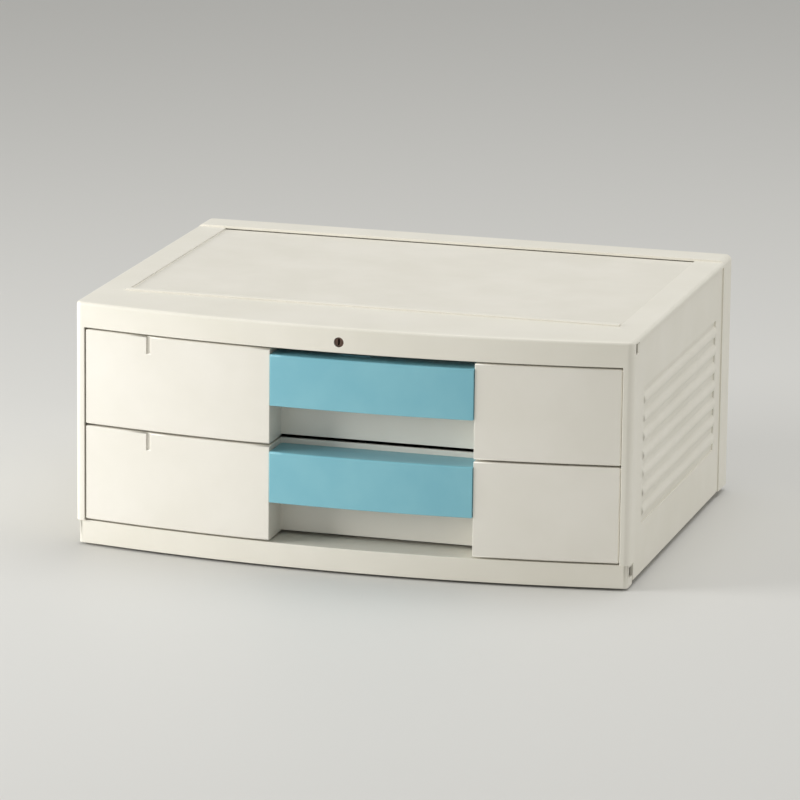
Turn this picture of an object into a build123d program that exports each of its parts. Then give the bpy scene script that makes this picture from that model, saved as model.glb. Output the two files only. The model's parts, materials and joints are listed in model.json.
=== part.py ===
from build123d import *
import math
import os

# A free-standing desktop chest with two drawers for discs in their cases.
# X runs to the right, the bowed front faces -Y, Z is up. The origin is on the ground,
# under the middle of the whole object. All sizes are in millimetres.

# ---- overall form ----
width = 456.0                # across the front corners and the back cover
side_depth = 340.0           # from the front corner line to the rear face
front_bow = 23.0             # how far the middle of the front stands out
foot_height = 5.0            # ground to the underside of the side panels
plinth_lift = 2.0            # ground to the lower edge of the plinth
plinth_height = 18.9
drawer_height = 76.9         # height of one drawer front
fascia_height = 20.4
front_gap = 1.5              # between plinth, drawer fronts and fascia
rim_rise = 1.5               # top rims above the front strip
wall = 3.0                   # moulded walls of the cabinet

# ---- front bezel ----
post_width = 8.0             # side posts beside the drawers
bezel_return = 18.0          # how far the bezel wraps round the side
strip_depth = 51.0           # front corner line to the ridge across the top
plinth_setback = 2.5         # plinth face behind the fascia face
plinth_inset = 2.0           # plinth ends inside the side faces
corner_radius = 6.0
top_edge_radius = 2.5        # outer edges of the top
fascia_lip = 8.0             # return along the lower edge of the fascia
post_wall = 2.4
clip_window_length = 11.0
clip_window_height = 8.5
clip_window_lift = 4.0       # lower windows above the underside
edge_radius = 1.5
plinth_corner_radius = 4.0

# ---- top, sides, back and base ----
ridge_width = 6.0            # raised ridge along the front of the top field
side_rim_width = 25.0
field_depth = 1.5            # side rims above the recessed field
top_edge_height = 6.0        # side panels below the top of the ridge
field_edge_radius = 0.8
top_screw_inset = 13.0       # from the front and the back cover
top_screw_bite = 3.0
tongue_length = 15.0         # top panel tongue below the front strip
rear_tongue_drop = 1.0       # from the field down to the part below the back cover's flange
side_inset = 1.2             # side panels behind the bezel and the back cover
flange_width = 12.0          # inward flanges at the top and rear of a side panel
base_flange_width = 24.0     # inward flange at the foot of a side panel
clip_tongue_wall = 2.0
clip_tongue_length = 9.0
rib_count = 7
rib_pitch = 15.0
rib_width = 10.5
rib_field_depth = 1.6
rib_crown = 1.1              # crown of a rib above the panel face
rib_field_front = 41.5       # from the front corner line
rib_field_rear = 49.0        # from the rear face
cover_flange_depth = 28.0
cover_flange_wall = 2.4
cover_radius = 5.0
cover_screw_inset = 36.0     # from the top and the foot of a side panel
cover_panel_margin = 34.0    # border round the shallow panel of the back cover
cover_panel_depth = 1.0
base_upstand = 12.9          # height of the rail behind the plinth
base_rib_wall = 2.0
base_rib_count = 5

# ---- drawers ----
drawer_travel = 250.0
side_gap = 0.6               # drawer front to post
front_wall = 2.5             # walls of a drawer front moulding
front_setback = 1.0          # drawer fronts behind the fascia face
front_edge_chamfer = 0.8     # upper and lower edges of a drawer front
pocket_left = -60.0          # finger pocket, left and right of the middle
pocket_right = 105.5
pocket_back = 11.0           # back wall of the pocket behind the corner line
pocket_lift = 1.4            # lower edge of the back wall above the front's lower edge
slot_x = -163.5              # narrow index groove down from the upper edge of the left field
slot_width = 3.6
slot_height = 14.0
slot_depth = 1.6
end_screw_inset = 21.6       # screws near the ends of a drawer front
tray_wall = 2.2
tray_lift = 3.5              # tray floor above the lower edge of the front
tray_headroom = 7.4          # tray below the upper edge of the front
tray_side_gap = 0.5          # tray side inside the drawer front's end
tray_rear_gap = 11.0         # tray to rear face
tray_radius = 4.0
floor_rib_pitch = 24.0
floor_rib_wall = 1.6
floor_rib_height = 2.5
floor_rib_end_gap = 3.0
floor_rib_margin = 20.0      # least distance from the end ribs to the tray's front and rear
divider_wall = 1.6
divider_height = 46.0
divider_scoop = 14.0         # depth of the scoop in a divider's upper edge
divider_shoulder = 60.0      # level end of a divider's upper edge
divider_play = 0.2
guide_depth = 3.0
lug_length = 8.0             # stop lugs on the tray sides
lug_height = 4.0
lug_out = 2.6
lug_rise = 9.0               # lug middle above the tray's underside
lug_rear_gap = 6.0

# ---- pull ----
pull_drop = 4.2              # pull below the upper edge of the drawer front
pull_height = 41.3
pull_wall = 2.5
pull_play = 0.4              # pull to pocket
pull_rear_drop = 22.0        # rear flange that is screwed to the pocket's back wall
pull_lip = 2.0               # thickening along the lower edge of the pull
pull_lip_height = 3.0
cheek_wall = 2.0
cheek_depth = 18.0
pull_screw_inset = 14.4      # from the ends of the pull

# ---- runners ----
runner_wall = 2.0
runner_play = 0.8            # runner web to tray side
runner_height = 26.0         # web above the tray's underside
runner_ledge = 10.0          # how far the ledge reaches below the tray
ledge_wall = 2.5
slide_gap = 0.3              # tray to ledge
slot_play = 0.6              # lug to slot, above and below
runner_front_gap = 3.5       # runner behind the bezel's side return
runner_rear_gap = 5.0        # runner to the back cover
runner_screw_inset = 17.0    # from the runner's ends

# ---- lock ----
lock_x = -3.0
lock_rise = 8.5              # lock axis above the lower edge of the fascia
lock_hole_radius = 4.0
plug_radius = 3.7
plug_recess = 0.8            # plug face behind the fascia face
plug_bore_play = 0.05
keyway_width = 1.4
keyway_height = 5.0
keyway_depth = 6.0
barrel_radius = 5.0
barrel_length = 14.0
barrel_ear_reach = 14.0
barrel_ear_height = 8.0
barrel_ear_wall = 2.0
lock_screw_offset = 10.5
cam_wall = 2.0
cam_gap = 0.3
cam_half_width = 4.0
cam_reach = 19.0
cam_slot_play = 0.8
cam_bore_radius = 1.7
cam_hub_radius = 4.6

# ---- feet and screws ----
foot_radius = 9.0
foot_front = 51.0            # foot middle behind the front corner line
foot_rear = 41.0             # foot middle in front of the rear face
base_screw_spacing = 46.0    # from a foot to the nearest base screw
foot_spigot_radius = 4.0
foot_barb_radius = 5.0
foot_barb_height = 2.2
foot_play = 0.3
foot_chamfer = 1.0
shank_radius = 1.5
head_radius = 3.2
head_height = 1.8
screw_play = 0.1
boss_radius = 3.6
screw_bite = 7.0             # shank beyond the face that the head sits on
runner_bite = 3.7            # the same for the short runner screws
flush_head_height = 1.2
runner_screw_rise = 19.0     # above the tray's underside

# ---- levels and planes that follow ----
half_width = width / 2
corner_y = front_bow / 2 - side_depth / 2
rear_y = corner_y + side_depth
bow_radius = (half_width ** 2 + front_bow ** 2) / (2 * front_bow)
bow_center_y = corner_y - front_bow + bow_radius
plinth_top = plinth_lift + plinth_height
lower_z = plinth_top + front_gap
upper_z = lower_z + drawer_height + front_gap
fascia_bottom = upper_z + drawer_height + front_gap
strip_top = fascia_bottom + fascia_height
rim_top = strip_top + rim_rise
side_top = rim_top - top_edge_height
field_floor = strip_top - field_depth
lock_z = fascia_bottom + lock_rise
opening_half = half_width - post_width
seam_y = corner_y + bezel_return
ridge_y = corner_y + strip_depth
side_outer = half_width - side_inset
side_inner = side_outer - wall
cover_front_y = rear_y - cover_flange_depth
cover_inner_y = rear_y - wall
rib_middle_z = upper_z - front_gap / 2
front_half = opening_half - side_gap
tray_half = front_half - tray_side_gap
tray_front_y = corner_y + pocket_back + front_wall
tray_rear_y = rear_y - tray_rear_gap
tray_height = drawer_height - tray_lift - tray_headroom
runner_inner = tray_half + runner_play
runner_front_y = seam_y + runner_front_gap
runner_rear_y = cover_inner_y - runner_rear_gap
base_plate_z = foot_height + wall
foot_x = side_inner - base_flange_width / 2
foot_ys = (corner_y + foot_front, rear_y - foot_rear)
shank_hole = shank_radius + screw_play

os.makedirs("parts", exist_ok=True)


def bow_y(x, inset=0.0):
    """Y of the bowed face at x, set back by inset."""
    return bow_center_y - math.sqrt((bow_radius - inset) ** 2 - x ** 2)


def bow_arc(x0, x1, inset):
    """Plan arc of the bowed face from x0 to x1."""
    middle = (x0 + x1) / 2
    ThreePointArc((x0, bow_y(x0, inset)), (middle, bow_y(middle, inset)), (x1, bow_y(x1, inset)))


def bowed_face(x0, x1, inset, back_y):
    """Plan face from the bowed front to a straight back."""
    with BuildLine() as outline:
        bow_arc(x0, x1, inset)
        Polyline((x1, bow_y(x1, inset)), (x1, back_y), (x0, back_y), (x0, bow_y(x0, inset)))
    make_face(outline.edges())


def bowed_band(x0, x1, inset, back_inset):
    """Plan band between two arcs of the bowed front."""
    with BuildLine() as outline:
        bow_arc(x0, x1, inset)
        Line((x1, bow_y(x1, inset)), (x1, bow_y(x1, back_inset)))
        bow_arc(x0, x1, back_inset)
        Line((x0, bow_y(x0, back_inset)), (x0, bow_y(x0, inset)))
    make_face(outline.edges())


def block(low, high, mode=Mode.ADD):
    """Box between two corners."""
    middle = [(a + b) / 2 for a, b in zip(low, high)]
    size = [b - a for a, b in zip(low, high)]
    with Locations(tuple(middle)):
        Box(*size, mode=mode)


def rod(start, direction, radius, length, mode=Mode.ADD):
    """Round bar from a start point along a direction."""
    with Locations(Plane(origin=start, z_dir=direction)):
        Cylinder(radius, length, align=(Align.CENTER, Align.CENTER, Align.MIN), mode=mode)


def screw(seat, direction, length=screw_bite):
    """Pan-head screw whose head sits at seat; the shank runs along direction."""
    back = Vector(*direction) * -1
    rod(seat, direction, shank_radius, length)
    rod(seat, tuple(back), head_radius, head_height)


def flush_screw(seat, direction, length):
    """Countersunk screw whose head ends level with seat."""
    rod(seat, direction, shank_radius, length)
    with Locations(Plane(origin=seat, z_dir=direction)):
        Cone(head_radius - screw_play, shank_radius, flush_head_height,
             align=(Align.CENTER, Align.CENTER, Align.MIN))


def flush_hole(seat, direction, depth):
    """Countersunk hole for a flush screw."""
    rod(seat, direction, shank_hole, depth, mode=Mode.SUBTRACT)
    with Locations(Plane(origin=seat, z_dir=direction)):
        Cone(head_radius, shank_hole, flush_head_height,
             align=(Align.CENTER, Align.CENTER, Align.MIN), mode=Mode.SUBTRACT)


def save(piece, name):
    """Label one piece and write it."""
    piece.part.label = name
    export_step(piece.part, "parts/" + name + ".step")


# ---- front bezel: fascia, posts and plinth in one bowed frame ----
window_zs = (strip_top - wall - clip_window_height, foot_height + clip_window_lift)
lock_wall_y = bow_y(abs(lock_x) + barrel_ear_reach, wall)
lock_screw_xs = (lock_x - lock_screw_offset, lock_x + lock_screw_offset)

with BuildPart() as front_bezel:
    with BuildSketch(Plane.XY.offset(plinth_top)):
        bowed_face(-half_width, half_width, 0, seam_y)
    extrude(amount=strip_top - plinth_top)
    # strip that runs back over the top to the ridge, with an edge down to the side panels
    block((-half_width, seam_y, side_top), (half_width, ridge_y, strip_top))
    front_corners = front_bezel.edges().filter_by(Axis.Z).group_by(Axis.Y)[0]
    fillet(front_corners, corner_radius)
    top_outline = front_bezel.faces().sort_by(Axis.Z)[-1].edges().sort_by(Axis.Y)[:-1]
    fillet(top_outline, top_edge_radius)
    with BuildSketch(Plane.XY.offset(side_top)):
        with Locations((0, (seam_y + ridge_y) / 2)):
            Rectangle(2 * (half_width - wall), ridge_y - seam_y)
    extrude(amount=strip_top - wall - side_top, mode=Mode.SUBTRACT)
    # hollow behind the fascia and the posts
    with BuildSketch(Plane.XY.offset(plinth_top)):
        bowed_face(wall - half_width, half_width - wall, wall, seam_y)
    extrude(amount=strip_top - wall - plinth_top, mode=Mode.SUBTRACT)
    # plinth, hollow below its top face
    plinth_half = half_width - plinth_inset
    with BuildSketch(Plane.XY.offset(plinth_lift)) as plinth_plan:
        bowed_face(-plinth_half, plinth_half, plinth_setback, seam_y)
        fillet(plinth_plan.vertices().group_by(Axis.Y)[0], plinth_corner_radius)
    extrude(amount=plinth_height)
    with BuildSketch(Plane.XY.offset(plinth_lift)):
        bowed_face(wall - plinth_half, plinth_half - wall, plinth_setback + wall, seam_y)
    extrude(amount=plinth_height - wall, mode=Mode.SUBTRACT)
    # inner walls of the posts
    with BuildSketch(Plane.XY.offset(plinth_top)):
        bowed_face(opening_half, opening_half + post_wall, wall / 2, seam_y)
        bowed_face(-opening_half - post_wall, -opening_half, wall / 2, seam_y)
    extrude(amount=fascia_bottom - plinth_top)
    # lip along the lower edge of the fascia
    with BuildSketch(Plane.XY.offset(fascia_bottom)):
        bowed_band(wall / 2 - half_width, half_width - wall / 2, wall / 2, wall + fascia_lip)
    extrude(amount=wall)
    # drawer opening
    with BuildSketch(Plane.XY.offset(plinth_top)):
        bowed_band(-opening_half, opening_half, -wall, wall + fascia_lip)
    extrude(amount=fascia_bottom - plinth_top, mode=Mode.SUBTRACT)
    # clip windows in the side returns
    for side in (-1, 1):
        for z in window_zs:
            xs = sorted((side * half_width, side * (opening_half + post_wall)))
            block((xs[0], seam_y - clip_window_length, z), (xs[1], seam_y, z + clip_window_height),
                  mode=Mode.SUBTRACT)
    # seats for the lock and its two screws
    for x in lock_screw_xs:
        rod((x, lock_wall_y, lock_z), (0, -1, 0), shank_hole, wall / 2, mode=Mode.SUBTRACT)
    rod((lock_x, lock_wall_y + wall, lock_z), (0, -1, 0), lock_hole_radius, 4 * wall, mode=Mode.SUBTRACT)
save(front_bezel, "front_bezel")

# ---- top panel: recessed field between side rims, behind a raised ridge ----
top_front_tongue_y = ridge_y - tongue_length
top_screw_ys = (ridge_y + top_screw_inset, cover_front_y - top_screw_inset)
top_screw_x = side_inner - flange_width / 2
rim_inner = half_width - side_rim_width
flange_inner = side_inner - flange_width
with BuildPart() as top_panel:
    block((-half_width, ridge_y, side_top), (half_width, cover_front_y, strip_top))
    outer_edges = top_panel.edges().filter_by(Axis.Y).group_by(Axis.Z)[-1]
    fillet(outer_edges, top_edge_radius)
    block((-rim_inner, ridge_y, field_floor), (rim_inner, cover_front_y, strip_top), mode=Mode.SUBTRACT)
    rim_edges = top_panel.edges().filter_by(Axis.Y).filter_by_position(Axis.Z, strip_top, strip_top)
    fillet(rim_edges.filter_by_position(Axis.X, -rim_inner, rim_inner), field_edge_radius)
    # ridge across the front of the field
    block((-rim_inner, ridge_y, side_top), (rim_inner, ridge_y + ridge_width, rim_top))
    ridge_edges = top_panel.edges().filter_by(Axis.X).group_by(Axis.Z)[-1]
    fillet(ridge_edges, field_edge_radius)
    # part that runs back below the cover's flange, and tongue below the front strip
    block((-side_inner, cover_front_y, side_top), (side_inner, cover_inner_y, field_floor - rear_tongue_drop))
    block((-flange_inner, top_front_tongue_y, strip_top - 2 * wall),
          (flange_inner, ridge_y + ridge_width, strip_top - wall))
    # hollows below the rims
    for side in (-1, 1):
        xs = sorted((side * flange_inner, side * rim_inner))
        block((xs[0], ridge_y + ridge_width, side_top), (xs[1], cover_front_y, side_top + field_depth),
              mode=Mode.SUBTRACT)
        for y in top_screw_ys:
            rod((side * top_screw_x, y, side_top), (0, 0, 1), shank_hole, top_screw_bite, mode=Mode.SUBTRACT)
save(top_panel, "top_panel")

# ---- side panels: ribbed plates with inward flanges ----
runner_levels = (lower_z + tray_lift, upper_z + tray_lift)
runner_screw_ys = (runner_front_y + runner_screw_inset, runner_rear_y - runner_screw_inset)
cover_screw_x = side_inner - flange_width / 2
cover_screw_zs = (foot_height + cover_screw_inset, side_top - cover_screw_inset)
base_screw_ys = (foot_ys[0] + base_screw_spacing, foot_ys[1] - base_screw_spacing)
rib_length = (rear_y - rib_field_rear) - (corner_y + rib_field_front)
rib_field_half = (rib_count * rib_pitch + rib_pitch - rib_width) / 2

with BuildPart() as side_panel_right:
    block((side_inner, seam_y, foot_height), (side_outer, cover_inner_y, side_top))
    # rebate for the back cover's flange
    block((half_width - cover_flange_wall - slide_gap, cover_front_y, foot_height),
          (half_width, rear_y, side_top), mode=Mode.SUBTRACT)
    # recessed field and its crowned ribs
    block((side_outer - rib_field_depth, corner_y + rib_field_front, rib_middle_z - rib_field_half),
          (side_outer, rear_y - rib_field_rear, rib_middle_z + rib_field_half), mode=Mode.SUBTRACT)
    with BuildSketch(Plane.XZ.offset(rib_field_rear - rear_y)):
        for index in range(rib_count):
            z = rib_middle_z + (index - (rib_count - 1) / 2) * rib_pitch
            with BuildLine():
                ThreePointArc((side_outer - rib_field_depth, z - rib_width / 2),
                              (side_outer + rib_crown, z),
                              (side_outer - rib_field_depth, z + rib_width / 2))
                Line((side_outer - rib_field_depth, z + rib_width / 2),
                     (side_outer - rib_field_depth, z - rib_width / 2))
            make_face()
    extrude(amount=rib_length)
    # inward flanges: top, rear and foot
    block((side_inner - flange_width, seam_y + flange_width, side_top - wall),
          (side_inner, cover_inner_y, side_top))
    block((side_inner - flange_width, cover_inner_y - wall, foot_height),
          (side_inner, cover_inner_y, side_top))
    block((side_inner - base_flange_width, seam_y + wall, foot_height),
          (side_inner, cover_inner_y, base_plate_z))
    # clip tongue inside the post
    tongue_x = half_width - wall - slide_gap
    block((tongue_x - clip_tongue_wall, seam_y - clip_tongue_length, plinth_top + wall),
          (tongue_x, seam_y + wall, fascia_bottom))
    # bosses behind the runner screws
    for z in runner_levels:
        for y in runner_screw_ys:
            rod((runner_inner + runner_wall, y, z + runner_screw_rise), (1, 0, 0), boss_radius,
                side_inner - runner_inner - runner_wall)
            rod((runner_inner, y, z + runner_screw_rise), (1, 0, 0), shank_hole,
                runner_bite + screw_play, mode=Mode.SUBTRACT)
    # holes for the cover, top, base and foot fastenings
    for z in cover_screw_zs:
        rod((cover_screw_x, cover_inner_y, z), (0, -1, 0), shank_hole, wall, mode=Mode.SUBTRACT)
    for y in top_screw_ys:
        rod((top_screw_x, y, side_top), (0, 0, -1), shank_hole, wall, mode=Mode.SUBTRACT)
    for y in base_screw_ys:
        rod((foot_x, y, foot_height), (0, 0, 1), shank_hole, wall, mode=Mode.SUBTRACT)
    for y in foot_ys:
        rod((foot_x, y, foot_height), (0, 0, 1), foot_spigot_radius + foot_play, wall, mode=Mode.SUBTRACT)
save(side_panel_right, "side_panel_right")

with BuildPart() as side_panel_left:
    mirror(side_panel_right.part, about=Plane.YZ)
save(side_panel_left, "side_panel_left")

# ---- base panel: ribbed floor with a rail behind the plinth ----
base_rib_half = side_inner - base_flange_width - wall
with BuildPart() as base_panel:
    base_half = side_inner - slide_gap
    base_front_y = seam_y + slide_gap
    base_rear_y = cover_inner_y - wall - slide_gap
    block((-base_half, base_front_y, base_plate_z), (base_half, base_rear_y, base_plate_z + wall))
    block((-base_half, base_front_y, base_plate_z), (base_half, base_front_y + wall, base_plate_z + base_upstand))
    for index in range(base_rib_count):
        x = base_rib_half * (2 * index / (base_rib_count - 1) - 1)
        block((x - base_rib_wall / 2, base_front_y, foot_height),
              (x + base_rib_wall / 2, base_rear_y, base_plate_z))
    for y in (base_front_y + base_rib_wall, (base_front_y + base_rear_y) / 2, base_rear_y - base_rib_wall):
        block((-base_rib_half, y - base_rib_wall / 2, foot_height),
              (base_rib_half, y + base_rib_wall / 2, base_plate_z))
    for side in (-1, 1):
        for y in base_screw_ys:
            rod((side * foot_x, y, base_plate_z), (0, 0, 1), shank_hole, wall, mode=Mode.SUBTRACT)
            rod((side * foot_x, y, base_plate_z + wall), (0, 0, 1), boss_radius, wall)
            rod((side * foot_x, y, base_plate_z), (0, 0, 1), shank_hole, screw_bite, mode=Mode.SUBTRACT)
        for y in foot_ys:
            rod((side * foot_x, y, base_plate_z), (0, 0, 1), foot_barb_radius + foot_play, wall,
                mode=Mode.SUBTRACT)
save(base_panel, "base_panel")

# ---- back cover: pan whose flange wraps over the top and sides ----
with BuildPart() as back_cover:
    block((-half_width, cover_front_y, foot_height), (half_width, rear_y, rim_top))
    upper_corners = back_cover.edges().filter_by(Axis.Y).group_by(Axis.Z)[-1]
    fillet(upper_corners, cover_radius)
    rear_edges = back_cover.faces().sort_by(Axis.Y)[-1].edges().group_by(Axis.Z)[1:]
    fillet([edge for group in rear_edges for edge in group], edge_radius)
    inner_half = half_width - cover_flange_wall
    block((-inner_half, cover_front_y, foot_height),
          (inner_half, cover_inner_y, rim_top - cover_flange_wall), mode=Mode.SUBTRACT)
    block((cover_panel_margin - half_width, rear_y - cover_panel_depth, foot_height + cover_panel_margin),
          (half_width - cover_panel_margin, rear_y, rim_top - cover_panel_margin), mode=Mode.SUBTRACT)
    for side in (-1, 1):
        for z in cover_screw_zs:
            rod((side * cover_screw_x, rear_y, z), (0, -1, 0), shank_hole, wall, mode=Mode.SUBTRACT)
            rod((side * cover_screw_x, rear_y, z), (0, -1, 0), head_radius + slide_gap, head_height,
                mode=Mode.SUBTRACT)
save(back_cover, "back_cover")

# ---- runners: slotted channels with a ledge below the tray ----
lug_rear_y = tray_rear_y - lug_rear_gap
stop_y = lug_rear_y - lug_length - drawer_travel


def build_runner(tray_z, name):
    """Right-hand runner below and beside one tray, and its mirror image."""
    with BuildPart() as runner:
        ledge_top = tray_z - slide_gap
        block((runner_inner, runner_front_y, ledge_top - ledge_wall),
              (runner_inner + runner_wall, runner_rear_y, tray_z + runner_height))
        block((runner_inner, runner_front_y, tray_z + runner_height - runner_wall),
              (side_inner, runner_rear_y, tray_z + runner_height))
        block((runner_inner - runner_ledge, runner_front_y, ledge_top - ledge_wall),
              (side_inner, runner_rear_y, ledge_top))
        slot_half = lug_height / 2 + slot_play
        block((runner_inner, stop_y - screw_play, tray_z + lug_rise - slot_half),
              (runner_inner + runner_wall, runner_rear_y, tray_z + lug_rise + slot_half), mode=Mode.SUBTRACT)
        nose = runner.edges().filter_by(Axis.Z).group_by(Axis.Y)[0].sort_by(Axis.X)[0]
        chamfer(nose, runner_wall)
        for y in runner_screw_ys:
            flush_hole((runner_inner, y, tray_z + runner_screw_rise), (1, 0, 0), runner_wall)
    save(runner, name + "_right")
    with BuildPart() as mirrored:
        mirror(runner.part, about=Plane.YZ)
    save(mirrored, name + "_left")


# ---- drawers ----
column_width = (2 * (tray_half - tray_wall) - 2 * divider_wall) / 3
divider_x = column_width / 2 + divider_wall / 2
column_xs = (-column_width - divider_wall, 0, column_width + divider_wall)
pocket_back_y = corner_y + pocket_back
pull_left = pocket_left + pull_play
pull_right = pocket_right - pull_play
pull_screw_xs = (pull_left + pull_screw_inset, pull_right - pull_screw_inset)
pull_screw_drop = pull_drop + pull_rear_drop - boss_radius - pull_wall
end_screw_xs = (-front_half + end_screw_inset, front_half - end_screw_inset)
cam_front_y = lock_wall_y + barrel_length + cam_gap


def build_front(z0, name):
    """Bowed drawer front: hollow behind, with an open finger pocket."""
    z1 = z0 + drawer_height
    pocket_wall_left = pocket_left - front_wall
    pocket_wall_right = pocket_right + front_wall
    with BuildPart() as drawer_front:
        with BuildSketch(Plane.XY.offset(z0)):
            bowed_face(-front_half, front_half, front_setback, tray_front_y)
        extrude(amount=drawer_height)
        front_face_edges = drawer_front.edges().filter_by(Axis.Z).group_by(Axis.Y)[0]
        fillet(front_face_edges, edge_radius)
        levels_of_edges = drawer_front.edges().group_by(Axis.Z)
        bowed_edges = [levels_of_edges[end].sort_by(Axis.Y)[0] for end in (0, -1)]
        chamfer(bowed_edges, front_edge_chamfer)
        # hollow behind the two plain fields
        with BuildSketch(Plane.XY.offset(z0 + front_wall)):
            bowed_face(front_wall - front_half, pocket_wall_left, front_setback + front_wall, tray_front_y)
            bowed_face(pocket_wall_right, front_half - front_wall, front_setback + front_wall, tray_front_y)
        extrude(amount=drawer_height - 2 * front_wall, mode=Mode.SUBTRACT)
        # finger pocket, open in front, above and below
        with BuildSketch(Plane.XY.offset(z0)):
            bowed_face(pocket_left, pocket_right, 0, pocket_back_y)
        extrude(amount=drawer_height, mode=Mode.SUBTRACT)
        block((pocket_left, pocket_back_y, z0), (pocket_right, tray_front_y, z0 + pocket_lift),
              mode=Mode.SUBTRACT)
        # index groove
        block((slot_x - slot_width / 2, corner_y - 2 * front_bow, z1 - slot_height),
              (slot_x + slot_width / 2, bow_y(slot_x, front_setback + slot_depth), z1), mode=Mode.SUBTRACT)
        # screw posts in the hollow ends
        for x in end_screw_xs:
            start = (x, tray_front_y, z0 + drawer_height / 2)
            rod(start, (0, -1, 0), boss_radius, tray_front_y - bow_y(x, front_setback + front_wall / 2))
            rod(start, (0, -1, 0), shank_hole, screw_bite, mode=Mode.SUBTRACT)
        for x in pull_screw_xs:
            rod((x, tray_front_y, z1 - pull_screw_drop), (0, -1, 0), shank_hole, front_wall,
                mode=Mode.SUBTRACT)
    save(drawer_front, name)


def build_pull(front_top, name, cam_slot):
    """Hooded pull: bowed face, top plate, rear flange and two cheeks."""
    z1 = front_top - pull_drop
    z0 = z1 - pull_height
    rear = pocket_back_y - pull_play
    with BuildPart() as pull:
        with BuildSketch(Plane.XY.offset(z0)):
            bowed_band(pull_left, pull_right, 0, pull_wall)
        extrude(amount=pull_height)
        with BuildSketch(Plane.XY.offset(z0)):
            bowed_band(pull_left, pull_right, 0, pull_wall + pull_lip)
        extrude(amount=pull_lip_height)
        with BuildSketch(Plane.XY.offset(z1 - pull_wall)):
            bowed_face(pull_left, pull_right, 0, rear)
        extrude(amount=pull_wall)
        upper_front = pull.edges().group_by(Axis.Z)[-1].group_by(Axis.Y)[0]
        fillet(upper_front, edge_radius)
        block((pull_left, rear - pull_wall, z1 - pull_rear_drop), (pull_right, rear, z1))
        for x, side in ((pull_left, 1), (pull_right, -1)):
            with BuildSketch(Plane.YZ.offset(x)):
                front_y = bow_y(x, pull_wall / 2)
                with BuildLine():
                    Polyline((front_y, z1 - pull_wall / 2), (front_y, z0 + pull_lip_height),
                             (front_y + cheek_depth / 2, z0 + pull_lip_height),
                             (front_y + cheek_depth, z1 - pull_rear_drop),
                             (rear, z1 - pull_rear_drop), (rear, z1 - pull_wall / 2), close=True)
                make_face()
            extrude(amount=side * cheek_wall)
        for x in pull_screw_xs:
            start = (x, rear, front_top - pull_screw_drop)
            rod(start, (0, -1, 0), boss_radius, screw_bite)
            rod(start, (0, -1, 0), shank_hole, screw_bite, mode=Mode.SUBTRACT)
        if cam_slot:
            block((lock_x - cam_half_width - cam_slot_play, cam_front_y - cam_slot_play, z1 - pull_wall),
                  (lock_x + cam_reach + cam_slot_play, cam_front_y + cam_wall + cam_slot_play, z1),
                  mode=Mode.SUBTRACT)
    save(pull, name)


def build_tray(tray_z, name):
    """Open tray with three columns, case ribs on the floor and stop lugs at the rear."""
    floor_top = tray_z + tray_wall
    inner_front = tray_front_y + tray_wall
    inner_rear = tray_rear_y - tray_wall
    with BuildPart() as tray:
        block((-tray_half, tray_front_y, tray_z), (tray_half, tray_rear_y, tray_z + tray_height))
        fillet(tray.edges().filter_by(Axis.Z).group_by(Axis.Y)[-1], tray_radius)
        with BuildSketch(Plane.XY.offset(floor_top)):
            with Locations((0, (inner_front + inner_rear) / 2)):
                Rectangle(2 * (tray_half - tray_wall), inner_rear - inner_front)
        extrude(amount=tray_height, mode=Mode.SUBTRACT)
        # ribs that hold the lower edges of leaning cases
        rib_half = column_width / 2 - floor_rib_end_gap
        rib_gaps = int((inner_rear - inner_front - 2 * floor_rib_margin) // floor_rib_pitch)
        first_y = (inner_front + inner_rear - rib_gaps * floor_rib_pitch) / 2
        for x in column_xs:
            for index in range(rib_gaps + 1):
                y = first_y + index * floor_rib_pitch
                block((x - rib_half, y - floor_rib_wall / 2, floor_top),
                      (x + rib_half, y + floor_rib_wall / 2, floor_top + floor_rib_height))
        # guides for the dividers' ends
        for side in (-1, 1):
            for edge in (-1, 1):
                near = side * divider_x + edge * (divider_wall / 2 + divider_play)
                xs = sorted((near, near + edge * divider_wall))
                for y0, y1 in ((inner_front, inner_front + guide_depth), (inner_rear - guide_depth, inner_rear)):
                    block((xs[0], y0, floor_top), (xs[1], y1, floor_top + divider_height))
            # stop lug
            lug_xs = sorted((side * (tray_half - tray_wall), side * (tray_half + lug_out)))
            block((lug_xs[0], lug_rear_y - lug_length, tray_z + lug_rise - lug_height / 2),
                  (lug_xs[1], lug_rear_y, tray_z + lug_rise + lug_height / 2))
        z_front = tray_z - tray_lift
        for x in end_screw_xs:
            rod((x, inner_front, z_front + drawer_height / 2), (0, -1, 0), shank_hole, tray_wall,
                mode=Mode.SUBTRACT)
        for x in pull_screw_xs:
            rod((x, inner_front, z_front + drawer_height - pull_screw_drop), (0, -1, 0), shank_hole,
                tray_wall, mode=Mode.SUBTRACT)
    save(tray, name)


def build_divider(tray_z, side, name):
    """Upright plate between two columns, with a scooped upper edge."""
    floor_top = tray_z + tray_wall
    top = floor_top + divider_height
    front = tray_front_y + tray_wall + divider_play
    rear = tray_rear_y - tray_wall - divider_play
    with BuildPart() as divider:
        with BuildSketch(Plane.YZ.offset(side * divider_x - divider_wall / 2)):
            with BuildLine():
                Line((front + divider_shoulder, top), (front, top))
                Line((front, top), (front, floor_top))
                Line((front, floor_top), (rear, floor_top))
                Line((rear, floor_top), (rear, top))
                Line((rear, top), (rear - divider_shoulder, top))
                ThreePointArc((rear - divider_shoulder, top), ((front + rear) / 2, top - divider_scoop),
                              (front + divider_shoulder, top))
            make_face()
        extrude(amount=divider_wall)
    save(divider, name)


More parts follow.
